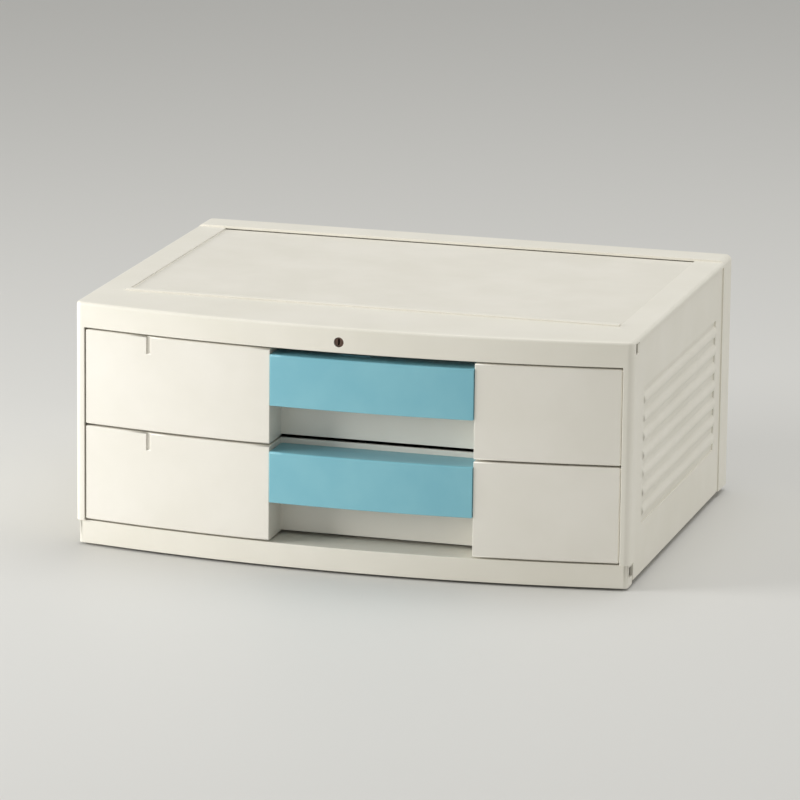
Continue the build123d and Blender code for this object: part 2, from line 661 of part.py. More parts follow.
def build_front_screws(tray_z, name):
    """Screws from inside the tray into the front moulding and the pull."""
    z_front = tray_z - tray_lift
    seat_y = tray_front_y + tray_wall
    with BuildPart() as screws:
        for x in end_screw_xs:
            screw((x, seat_y, z_front + drawer_height / 2), (0, -1, 0))
        for x in pull_screw_xs:
            screw((x, seat_y, z_front + drawer_height - pull_screw_drop), (0, -1, 0),
                  tray_wall + front_wall + screw_bite)
    save(screws, name)


for level, front_z in (("upper", upper_z), ("lower", lower_z)):
    tray_z = front_z + tray_lift
    build_runner(tray_z, "runner_" + level)
    build_front(front_z, "drawer_front_" + level)
    build_pull(front_z + drawer_height, "pull_" + level, cam_slot=level == "upper")
    build_tray(tray_z, "tray_" + level)
    build_divider(tray_z, -1, "divider_" + level + "_left")
    build_divider(tray_z, 1, "divider_" + level + "_right")
    build_front_screws(tray_z, "front_screws_" + level)

# ---- lock: barrel behind the fascia, turning plug and cam ----
plug_front_y = bow_y(lock_x) + plug_recess
with BuildPart() as lock_barrel:
    rod((lock_x, lock_wall_y, lock_z), (0, 1, 0), barrel_radius, barrel_length)
    block((lock_x - barrel_ear_reach, lock_wall_y, lock_z - barrel_ear_height / 2),
          (lock_x + barrel_ear_reach, lock_wall_y + barrel_ear_wall, lock_z + barrel_ear_height / 2))
    fillet(lock_barrel.edges().filter_by(Axis.Y).group_by(Axis.X)[0], barrel_ear_height / 4)
    fillet(lock_barrel.edges().filter_by(Axis.Y).group_by(Axis.X)[-1], barrel_ear_height / 4)
    rod((lock_x, lock_wall_y, lock_z), (0, 1, 0), plug_radius + plug_bore_play, barrel_length,
        mode=Mode.SUBTRACT)
    for x in lock_screw_xs:
        rod((x, lock_wall_y, lock_z), (0, 1, 0), shank_hole, barrel_ear_wall, mode=Mode.SUBTRACT)
save(lock_barrel, "lock_barrel")

with BuildPart() as lock_plug:
    plug_length = cam_front_y - plug_front_y
    rod((lock_x, plug_front_y, lock_z), (0, 1, 0), plug_radius, plug_length)
    block((lock_x - keyway_width / 2, plug_front_y, lock_z - keyway_height / 2),
          (lock_x + keyway_width / 2, plug_front_y + keyway_depth, lock_z + keyway_height / 2),
          mode=Mode.SUBTRACT)
    rod((lock_x, cam_front_y, lock_z), (0, -1, 0), shank_hole, screw_bite - cam_wall, mode=Mode.SUBTRACT)
save(lock_plug, "lock_plug")

with BuildPart() as lock_cam:
    with BuildSketch(Plane.XZ.offset(-cam_front_y - cam_wall)):
        with Locations((lock_x, lock_z)):
            Circle(cam_hub_radius)
        with Locations((lock_x + (cam_reach - cam_half_width) / 2, lock_z)):
            Rectangle(cam_reach - cam_half_width, 2 * cam_half_width)
        with Locations((lock_x + cam_reach - cam_half_width, lock_z)):
            Circle(cam_half_width)
        with Locations((lock_x, lock_z)):
            Circle(cam_bore_radius, mode=Mode.SUBTRACT)
    extrude(amount=cam_wall)
save(lock_cam, "lock_cam")

with BuildPart() as cam_screw:
    screw((lock_x, cam_front_y + cam_wall, lock_z), (0, -1, 0), screw_bite - screw_play)
save(cam_screw, "cam_screw")

with BuildPart() as lock_screws:
    for x in lock_screw_xs:
        screw((x, lock_wall_y + barrel_ear_wall, lock_z), (0, -1, 0), barrel_ear_wall + wall / 2 - screw_play)
save(lock_screws, "lock_screws")

# ---- feet ----
for row, y in zip(("front", "rear"), foot_ys):
    for hand, x in (("left", -foot_x), ("right", foot_x)):
        with BuildPart() as foot:
            rod((x, y, 0), (0, 0, 1), foot_radius, foot_height)
            chamfer(foot.edges().group_by(Axis.Z)[0], foot_chamfer)
            rod((x, y, foot_height), (0, 0, 1), foot_spigot_radius, wall)
            rod((x, y, base_plate_z), (0, 0, 1), foot_barb_radius, foot_barb_height)
        save(foot, "foot_" + row + "_" + hand)

# ---- cabinet screws ----
with BuildPart() as back_screws:
    for x in (-cover_screw_x, cover_screw_x):
        for z in cover_screw_zs:
            screw((x, rear_y - head_height, z), (0, -1, 0), 2 * wall - head_height - screw_play)
save(back_screws, "back_screws")

with BuildPart() as top_screws:
    for x in (-top_screw_x, top_screw_x):
        for y in top_screw_ys:
            screw((x, y, side_top - wall), (0, 0, 1), wall + top_screw_bite - screw_play)
save(top_screws, "top_screws")

with BuildPart() as base_screws:
    for x in (-foot_x, foot_x):
        for y in base_screw_ys:
            screw((x, y, foot_height), (0, 0, 1), wall + screw_bite - screw_play)
save(base_screws, "base_screws")

with BuildPart() as runner_screws:
    for side in (-1, 1):
        for z in runner_levels:
            for y in runner_screw_ys:
                flush_screw((side * runner_inner, y, z + runner_screw_rise), (side, 0, 0), runner_bite)
save(runner_screws, "runner_screws")
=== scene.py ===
"""Looks of a low desktop chest for discs in their cases.

Ivory moulded shells, two pale teal pulls over open finger pockets, a dark key lock in the
fascia, rubber feet and plated screws. Everything is in metres, in the frame of the solids:
+X to the right, the bowed front faces -Y, +Z up, the origin on the ground.
"""

import json
import logging
import math
from dataclasses import dataclass
from enum import Enum
from typing import Any, Dict, List, Optional, Sequence, Tuple

import bmesh
import bpy
from mathutils import Matrix, Vector


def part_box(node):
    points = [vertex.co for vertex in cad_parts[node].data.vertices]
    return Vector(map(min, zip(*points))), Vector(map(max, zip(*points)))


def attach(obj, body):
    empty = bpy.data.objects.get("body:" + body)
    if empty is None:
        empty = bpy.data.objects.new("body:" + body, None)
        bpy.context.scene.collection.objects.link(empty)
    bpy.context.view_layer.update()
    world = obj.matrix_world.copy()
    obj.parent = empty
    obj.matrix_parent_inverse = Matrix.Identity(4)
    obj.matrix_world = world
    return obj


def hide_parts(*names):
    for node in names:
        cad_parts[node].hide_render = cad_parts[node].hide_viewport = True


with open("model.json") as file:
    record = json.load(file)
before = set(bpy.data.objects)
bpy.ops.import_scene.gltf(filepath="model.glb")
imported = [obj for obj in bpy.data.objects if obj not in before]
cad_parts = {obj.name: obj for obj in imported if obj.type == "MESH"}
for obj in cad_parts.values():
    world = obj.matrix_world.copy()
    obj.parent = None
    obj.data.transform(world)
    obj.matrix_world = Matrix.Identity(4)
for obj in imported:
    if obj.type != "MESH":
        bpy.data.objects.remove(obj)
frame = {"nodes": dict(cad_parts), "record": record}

Triple = Tuple[float, float, float]

LOG = logging.getLogger("disc_chest")
LEVELS = ("upper", "lower")
HANDS = ("left", "right")
MM = 0.001
MERGE_DISTANCE = 0.002 * MM
FLAT_DEGREES = 0.3            # faces of a solid that turn less than this are one face
ROOM_FOR_ROUNDING = 1.5       # least width of the faces beside a rounded edge, in radii
ALONG_AXIS = 0.5              # part of a unit vector from which it lies along an axis
FACES_UP = 0.9                # part of a normal from which its face looks up

MIX_SHARE, MIX_FIRST, MIX_SECOND, MIX_RESULT = 0, 6, 7, 2    # colour sockets of a mix node
COLOUR_BAND = (0.35, 0.65)    # noise values between which the colour drifts
GLOSS_BAND = (0.3, 0.7)       # the same for the roughness
EDGE_WEAR_HIGHLIGHT_BAND = (0.3, 0.65)       # the same for the wear and painted highlight along an edge
GLOSS_FINENESS = 3            # patches of roughness along one patch of colour
EDGE_PATCH_MM = 14.0          # length of the patches along an edge in which its wear and painted highlight vary
EDGE_SAMPLES = 6              # samples that look for an edge nearby
EDGE_COSINE = 0.86            # cosine of the turn at an edge where wear and painted highlight are full
EDGE_MOST = 0.8               # share of the edge colour where wear and painted highlight are full
EDGE_LEAST = 0.35             # part of the wear and painted highlight that is left in the weakest patches


def linear_rgba(code: str) -> Tuple[float, float, float, float]:
    """Turns an sRGB hex colour into linear light.

    Args:
        code: Six hex digits after a hash sign.

    Returns:
        Red, green, blue and an alpha of 1.
    """
    parts = [int(code[i:i + 2], 16) / 255 for i in (1, 3, 5)]
    light = [v / 12.92 if v <= 0.04045 else ((v + 0.055) / 1.055) ** 2.4 for v in parts]
    return (light[0], light[1], light[2], 1.0)


def add_node(tree: bpy.types.NodeTree, kind: str, inputs: Optional[Dict[Any, Any]] = None,
             **settings: Any) -> bpy.types.Node:
    """Adds a shader node with its settings, values and links.

    Args:
        tree: Node tree that gets the node.
        kind: Node type.
        inputs: Input socket name or number to a value, or to the output socket that feeds it.
        **settings: Attributes of the node.

    Returns:
        The new node.
    """
    node = tree.nodes.new(kind)
    for name, value in settings.items():
        setattr(node, name, value)
    for socket, value in (inputs or {}).items():
        if isinstance(value, bpy.types.NodeSocket):
            tree.links.new(value, node.inputs[socket])
        else:
            node.inputs[socket].default_value = value
    return node


# ---------------------------------------------------------------- finishes


@dataclass(frozen=True)
class Finish:
    """One real material and how its surface was made.

    Colours are sRGB hex, pattern sizes are in millimetres.
    """

    name: str
    base: str
    drift: str
    drift_mm: float
    roughness: float
    roughness_spread: float
    grain_mm: float
    grain_depth_mm: float
    ior: float = 1.5
    metallic: float = 0.0
    grain_stretch: Triple = (1.0, 1.0, 1.0)
    # paler colour along the edges, partly for wear and partly as a painted highlight
    edge_wear_highlight_colour: str = ""
    edge_mm: float = 0.0
    wave_mm: float = 0.0
    wave_depth_mm: float = 0.0
    extras: Tuple[Tuple[str, float], ...] = ()

    def material(self) -> bpy.types.Material:
        """Builds the procedural material, or returns it if it is there.

        Returns:
            The material, named after the finish.
        """
        made = bpy.data.materials.get(self.name)
        if made is not None:
            return made
        made = bpy.data.materials.new(self.name)
        made.use_nodes = True
        tree = made.node_tree
        tree.nodes.clear()
        place = add_node(tree, "ShaderNodeTexCoord").outputs["Object"]
        colour = self.colour(tree, place)
        shader = add_node(tree, "ShaderNodeBsdfPrincipled", {
            "Base Color": colour,
            "Roughness": self.gloss(tree, place),
            "Normal": self.relief(tree, place),
            "Metallic": self.metallic,
            **({} if self.metallic else {"IOR": self.ior}),
            **dict(self.extras),
        })
        add_node(tree, "ShaderNodeOutputMaterial", {"Surface": shader.outputs["BSDF"]})
        return made

    def colour(self, tree: bpy.types.NodeTree, place: bpy.types.NodeSocket) -> bpy.types.NodeSocket:
        """Base colour that drifts slowly towards a second one, as pigment and age leave it.

        Args:
            tree: Node tree of the material.
            place: Socket with the point's position in the piece.

        Returns:
            The socket that gives the colour.
        """
        low, high = COLOUR_BAND
        patches = add_node(tree, "ShaderNodeTexNoise",
                           {"Vector": place, "Scale": 1 / (self.drift_mm * MM), "Detail": 3.0,
                            "Roughness": 0.55})
        share = add_node(tree, "ShaderNodeMapRange",
                         {"Value": patches.outputs["Fac"], "From Min": low, "From Max": high})
        mix = add_node(tree, "ShaderNodeMix",
                       {MIX_SHARE: share.outputs["Result"], MIX_FIRST: linear_rgba(self.base),
                        MIX_SECOND: linear_rgba(self.drift)},
                       data_type="RGBA")
        if not self.edge_mm:
            return mix.outputs[MIX_RESULT]
        # paler along every edge, convex or concave: partly wear, partly a painted highlight
        wear_highlight_mix = add_node(tree, "ShaderNodeMix",
                          {MIX_SHARE: self.edge_wear_highlight_share(tree, place), MIX_FIRST: mix.outputs[MIX_RESULT],
                           MIX_SECOND: linear_rgba(self.edge_wear_highlight_colour)},
                          data_type="RGBA")
        return wear_highlight_mix.outputs[MIX_RESULT]

    def edge_wear_highlight_share(self, tree: bpy.types.NodeTree, place: bpy.types.NodeSocket) -> bpy.types.NodeSocket:
        """Share of the paler edge colour, wear and painted highlight: none on a flat face, most along an
        edge, uneven along it.

        Args:
            tree: Node tree of the material.
            place: Socket with the point's position in the piece.

        Returns:
            The socket that gives the share.
        """
        low, high = EDGE_WEAR_HIGHLIGHT_BAND
        around = add_node(tree, "ShaderNodeBevel", {"Radius": self.edge_mm * MM}, samples=EDGE_SAMPLES)
        flat = add_node(tree, "ShaderNodeNewGeometry").outputs["Normal"]
        turn = add_node(tree, "ShaderNodeVectorMath", {0: around.outputs["Normal"], 1: flat},
                        operation="DOT_PRODUCT")
        edge = add_node(tree, "ShaderNodeMapRange",
                        {"Value": turn.outputs["Value"], "From Min": 1.0, "From Max": EDGE_COSINE,
                         "To Max": EDGE_MOST})
        edge_patches = add_node(tree, "ShaderNodeTexNoise",
                        {"Vector": place, "Scale": 1 / (EDGE_PATCH_MM * MM), "Detail": 3.0})
        uneven = add_node(tree, "ShaderNodeMapRange",
                          {"Value": edge_patches.outputs["Fac"], "From Min": low, "From Max": high,
                           "To Min": EDGE_LEAST})
        share = add_node(tree, "ShaderNodeMath", {0: edge.outputs["Result"], 1: uneven.outputs["Result"]},
                         operation="MULTIPLY")
        return share.outputs["Value"]

    def gloss(self, tree: bpy.types.NodeTree, place: bpy.types.NodeSocket) -> bpy.types.NodeSocket:
        """Roughness that varies over patches a third as large as the colour's.

        Args:
            tree: Node tree of the material.
            place: Socket with the point's position in the piece.

        Returns:
            The socket that gives the roughness.
        """
        low, high = GLOSS_BAND
        patches = add_node(tree, "ShaderNodeTexNoise",
                           {"Vector": place, "Scale": GLOSS_FINENESS / (self.drift_mm * MM), "Detail": 4.0})
        spread = add_node(tree, "ShaderNodeMapRange",
                          {"Value": patches.outputs["Fac"], "From Min": low, "From Max": high,
                           "To Min": self.roughness - self.roughness_spread,
                           "To Max": self.roughness + self.roughness_spread})
        return spread.outputs["Result"]

    def relief(self, tree: bpy.types.NodeTree, place: bpy.types.NodeSocket) -> bpy.types.NodeSocket:
        """Relief of the surface: its grain, and on large mouldings the slow waves of their sinks.

        Args:
            tree: Node tree of the material.
            place: Socket with the point's position in the piece.

        Returns:
            The socket that gives the normal.
        """
        stretched = add_node(tree, "ShaderNodeMapping", {"Vector": place, "Scale": self.grain_stretch})
        grain = add_node(tree, "ShaderNodeTexNoise",
                         {"Vector": stretched.outputs["Vector"], "Scale": 1 / (self.grain_mm * MM),
                          "Detail": 2.0, "Roughness": 0.6})
        bump = add_node(tree, "ShaderNodeBump",
                        {"Height": grain.outputs["Fac"], "Distance": self.grain_depth_mm * MM,
                         "Strength": 1.0})
        if not self.wave_mm:
            return bump.outputs["Normal"]
        sinks = add_node(tree, "ShaderNodeTexNoise",
                         {"Vector": place, "Scale": 1 / (self.wave_mm * MM), "Detail": 1.0})
        wave = add_node(tree, "ShaderNodeBump",
                        {"Height": sinks.outputs["Fac"], "Distance": self.wave_depth_mm * MM,
                         "Strength": 1.0, "Normal": bump.outputs["Normal"]})
        return wave.outputs["Normal"]


class Palette(Enum):
    """The chest's finishes: one for each material slot, and the grained field of the top."""

    # every edge colour below is paler than its base: partly wear, partly a painted highlight
    # high-impact polystyrene from a spark-eroded mould: warm off-white, satin, faintly mottled, with
    # slight sinks over its ribs, and edges a little paler, partly as wear and partly as a painted highlight.
    # The real grain is 0.1 mm, too fine for the picture, so it is drawn at 1.8 to 3 mm here and in the next
    # four finishes
    CABINET = Finish("ivory_polystyrene_cabinet", "#EAE6DA", "#E6E2D5", 70.0, 0.42, 0.05, 2.2, 0.014,
                     ior=1.57, edge_wear_highlight_colour="#F3F0E6", edge_mm=0.9, wave_mm=42.0, wave_depth_mm=0.035)
    # the same moulding where the mould is etched coarser, so that things don't slide: duller
    FIELD = Finish("ivory_polystyrene_etched_field", "#E5E1D6", "#E0DCD0", 55.0, 0.56, 0.05, 2.6, 0.045,
                   ior=1.57, edge_wear_highlight_colour="#EFECE2", edge_mm=0.9, wave_mm=60.0, wave_depth_mm=0.04)
    # the same moulding material on the drawer fronts, from a smoother mould
    DRAWER = Finish("ivory_polystyrene_drawer", "#ECE8DE", "#E8E4D9", 60.0, 0.36, 0.05, 2.0, 0.009,
                    ior=1.57, edge_wear_highlight_colour="#F4F1E8", edge_mm=0.8, wave_mm=48.0, wave_depth_mm=0.04)
    # self-coloured polystyrene from a polished mould: pale teal blue, semi-gloss, with paler edges,
    # partly worn pale by fingertips and partly a painted highlight
    PULL = Finish("teal_polystyrene_pull", "#84C1CE", "#7CBBCA", 45.0, 0.33, 0.03, 3.0, 0.003, ior=1.57,
                  edge_wear_highlight_colour="#9BD0DA", edge_mm=0.9, wave_mm=40.0, wave_depth_mm=0.03)
    # general-purpose polystyrene tray, plainer and a little greyer inside
    TRAY = Finish("grey_ivory_polystyrene_tray", "#DDDACF", "#D6D2C6", 50.0, 0.48, 0.06, 1.8, 0.02,
                  ior=1.57, edge_wear_highlight_colour="#E9E6DC", edge_mm=0.7)
    # natural acetal runners: milky, waxy and slippery
    RUNNER = Finish("natural_acetal_runner", "#DAD9D2", "#D3D1C8", 40.0, 0.36, 0.06, 1.2, 0.008, ior=1.48,
                    extras=(("Subsurface Weight", 0.1), ("Subsurface Scale", 0.004)))
    # die-cast zinc lock body, dull nickel plate
    ZINC = Finish("die_cast_zinc_lock", "#A8A7A2", "#9C9B96", 12.0, 0.42, 0.08, 0.6, 0.02, metallic=1.0)
    # bronzed brass plug, turned: dark red-brown, brighter round the rim and keyway from wear and a painted
    # highlight
    PLUG = Finish("bronzed_brass_plug", "#6B554B", "#57443C", 6.0, 0.36, 0.08, 0.5, 0.01, metallic=0.6,
                  grain_stretch=(1.0, 6.0, 1.0), edge_wear_highlight_colour="#A08468", edge_mm=0.35)
    # zinc-plated steel screws, bright with a bluish cast
    STEEL = Finish("zinc_plated_steel_screw", "#B9BABB", "#ABACAE", 8.0, 0.30, 0.08, 0.5, 0.01, metallic=1.0,
                   edge_wear_highlight_colour="#CFD0D1", edge_mm=0.3)
    # moulded nitrile rubber: near black, matt, with a dry bloom
    RUBBER = Finish("nitrile_rubber_foot", "#1B1B1A", "#242422", 9.0, 0.78, 0.08, 0.7, 0.03, ior=1.52,
                    edge_wear_highlight_colour="#343431", edge_mm=0.6)


SLOT_FINISHES: Dict[str, Palette] = {
    "cabinet_ivory": Palette.CABINET,
    "drawer_ivory": Palette.DRAWER,
    "pull_blue": Palette.PULL,
    "tray_plastic": Palette.TRAY,
    "runner_plastic": Palette.RUNNER,
    "lock_zinc": Palette.ZINC,
    "plug_dark": Palette.PLUG,
    "screw_steel": Palette.STEEL,
    "foot_rubber": Palette.RUBBER,
}


def dress(piece: bpy.types.Object, finish: Palette) -> None:
    """Gives a piece one finish all over.

    Args:
        piece: The piece, or a solid of the frame.
        finish: Its finish, which takes the place of all that it has.
    """
    piece.data.materials.clear()
    piece.data.materials.append(finish.value.material())
    for face in piece.data.polygons:
        face.material_index = 0


def hand_over(piece: bpy.types.Object, node: str, body: str, slot: str) -> bpy.types.Object:
    """Dresses a finished piece and puts it on its body, in place of its solid.

    Args:
        piece: The finished piece.
        node: The solid that it replaces.
        body: The body that it moves with.
        slot: The material slot that names its finish.

    Returns:
        The same piece.
    """
    dress(piece, SLOT_FINISHES[slot])
    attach(piece, body)
    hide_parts(node)
    LOG.info("%s replaces %s, %d faces", piece.name, node, len(piece.data.polygons))
    return piece


# ---------------------------------------------------------------- mesh helpers


def shade(data: bpy.types.Mesh, smooth_degrees: float) -> None:
    """Makes a mesh smooth, but for the edges that turn more than a limit in degrees."""
    data.shade_smooth()
    data.set_sharp_from_angle(angle=math.radians(smooth_degrees))


def finish_mesh(mesh: bmesh.types.BMesh, name: str, smooth_degrees: float = 35.0) -> bpy.types.Object:
    """Turns a bmesh into an object at the origin, smooth but for its sharp edges.

    Args:
        mesh: The finished bmesh, which is freed.
        name: Name of the piece.
        smooth_degrees: Edges that turn more than this stay sharp.

    Returns:
        The new object, linked to the scene.
    """
    data = bpy.data.meshes.new(name)
    mesh.to_mesh(data)
    mesh.free()
    shade(data, smooth_degrees)
    piece = bpy.data.objects.new(name, data)
    bpy.context.scene.collection.objects.link(piece)
    return piece


def softened(node: str, radius: float, shortest: float = 2.5 * MM, segments: int = 2,
             sharp_degrees: float = 30.0) -> bpy.types.Object:
    """Copy of a solid whose sharp edges are rounded, as a mould leaves them.

    Args:
        node: The solid to copy.
        radius: Radius of the rounded edges, in metres.
        shortest: Edges shorter than this stay as they are, such as those round a screw hole.
        segments: Facets across each rounded edge.
        sharp_degrees: Edges that turn more than this are rounded.

    Returns:
        The new piece.
    """
    mesh = bmesh.new()
    mesh.from_mesh(frame["nodes"][node].data)
    bmesh.ops.remove_doubles(mesh, verts=mesh.verts, dist=MERGE_DISTANCE)
    bmesh.ops.dissolve_limit(mesh, angle_limit=math.radians(FLAT_DEGREES), verts=mesh.verts,
                             edges=mesh.edges)
    sharp = []
    for edge in mesh.edges:
        length = edge.calc_length()
        if not edge.is_manifold or length < shortest:
            continue
        if edge.calc_face_angle() < math.radians(sharp_degrees):
            continue
        narrowest = min(face.calc_area() / length for face in edge.link_faces)
        if narrowest > ROOM_FOR_ROUNDING * radius:
            sharp.append(edge)
    bmesh.ops.bevel(mesh, geom=sharp, offset=radius, offset_type="OFFSET", segments=segments, profile=0.5,
                    affect="EDGES", clamp_overlap=False, material=-1)
    bmesh.ops.remove_doubles(mesh, verts=mesh.verts, dist=MERGE_DISTANCE)
    piece = finish_mesh(mesh, node + "_soft")
    weighted = piece.modifiers.new("flat faces stay flat", "WEIGHTED_NORMAL")
    weighted.keep_sharp = True
    return piece


def islands(node: str) -> List[Tuple[Vector, Vector]]:
    """Lowest and highest corner of each separate solid of a node.

    Args:
        node: The node to take apart.

    Returns:
        One pair of corners for each solid, in metres.
    """
    mesh = bmesh.new()
    mesh.from_mesh(frame["nodes"][node].data)
    bmesh.ops.remove_doubles(mesh, verts=mesh.verts, dist=MERGE_DISTANCE)
    boxes = []
    seen = set()
    for start in mesh.verts:
        if start.index in seen:
            continue
        seen.add(start.index)
        group = [start]
        for vert in group:
            for edge in vert.link_edges:
                other = edge.other_vert(vert)
                if other.index not in seen:
                    seen.add(other.index)
                    group.append(other)
        boxes.append(tuple(Vector(pick(vert.co[axis] for vert in group) for axis in range(3))
                           for pick in (min, max)))
    mesh.free()
    return boxes


def turned(mesh: bmesh.types.BMesh, profile: Sequence[Tuple[float, float]], sides: int,
           place: Matrix) -> None:
    """Adds a turned solid to a bmesh.

    Args:
        mesh: The bmesh that gets the solid.
        profile: Radius and height of each point, from the axis out and back to the axis.
        sides: Facets round the axis.
        place: Takes the solid's own axis, +Z from the origin, to its place.
    """
    solid = bmesh.new()
    verts = [solid.verts.new((radius, 0.0, height)) for radius, height in profile]
    edges = [solid.edges.new(pair) for pair in zip(verts, verts[1:])]
    bmesh.ops.spin(solid, geom=verts + edges, cent=(0.0, 0.0, 0.0), axis=(0.0, 0.0, 1.0),
                   angle=math.tau, steps=sides, use_merge=True, use_duplicate=False)
    add_solid(mesh, solid, place)


def add_solid(mesh: bmesh.types.BMesh, solid: bmesh.types.BMesh, place: Matrix) -> None:
    """Adds a closed solid to a bmesh, in its place and with its faces outwards.

    Args:
        mesh: The bmesh that gets the solid.
        solid: The solid at the origin, which is freed.
        place: Takes the solid to its place.
    """
    bmesh.ops.remove_doubles(solid, verts=solid.verts, dist=MERGE_DISTANCE)
    bmesh.ops.recalc_face_normals(solid, faces=solid.faces)
    bmesh.ops.transform(solid, matrix=place, verts=solid.verts)
    shape = bpy.data.meshes.new("solid")
    solid.to_mesh(shape)
    solid.free()
    mesh.from_mesh(shape)
    bpy.data.meshes.remove(shape)


def axis_frame(origin: Vector, direction: Vector) -> Matrix:
    """Matrix that takes +Z from the origin to a direction from a point."""
    return Matrix.Translation(origin) @ direction.to_track_quat("Z", "Y").to_matrix().to_4x4()


def cut_away(piece: bpy.types.Object, cutter: bpy.types.Object) -> None:
    """Cuts one mesh out of another and deletes the cutter.

    Args:
        piece: The mesh that is cut.
        cutter: The mesh that is taken away.
    """
    cut = piece.modifiers.new("cut", "BOOLEAN")
    cut.operation = "DIFFERENCE"
    cut.object = cutter
    cut.solver = "EXACT"
    bpy.context.view_layer.update()
    shape = bpy.data.meshes.new_from_object(piece.evaluated_get(bpy.context.evaluated_depsgraph_get()))
    piece.modifiers.remove(cut)
    old = piece.data
    piece.data = shape
    shape.name = piece.name
    bpy.data.meshes.remove(old)
    waste = cutter.data
    bpy.data.objects.remove(cutter)
    bpy.data.meshes.remove(waste)


# ---------------------------------------------------------------- sub-assemblies


@dataclass
class Shells:
    """Moulded shells of one body: solids with softened edges, each in its own finish."""

    body: str
    nodes: Sequence[str]
    slot: str
    edge_radius: float = 0.5 * MM
    shortest: float = 2.5 * MM

    def build(self) -> List[bpy.types.Object]:
        """Builds, dresses and hangs each shell.

        Returns:
            The new pieces.
        """
        return [hand_over(softened(node, self.edge_radius, self.shortest), node, self.body, self.slot)
                for node in self.nodes]


@dataclass
class TopField:
    """The etched field of the top panel, which has its own finish."""

    panel: bpy.types.Object
    mount: str = "top_field"
    level_play: float = 0.1 * MM

    def dress(self) -> None:
        """Gives the level faces at the field's height the etched finish."""
        level = next(mount["pos_m"][2] for mount in frame["record"]["mounts"] if mount["name"] == self.mount)
        self.panel.data.materials.append(Palette.FIELD.value.material())
        for face in self.panel.data.polygons:
            if face.normal.z > FACES_UP and abs(face.center.z - level) < self.level_play:
                face.material_index = 1


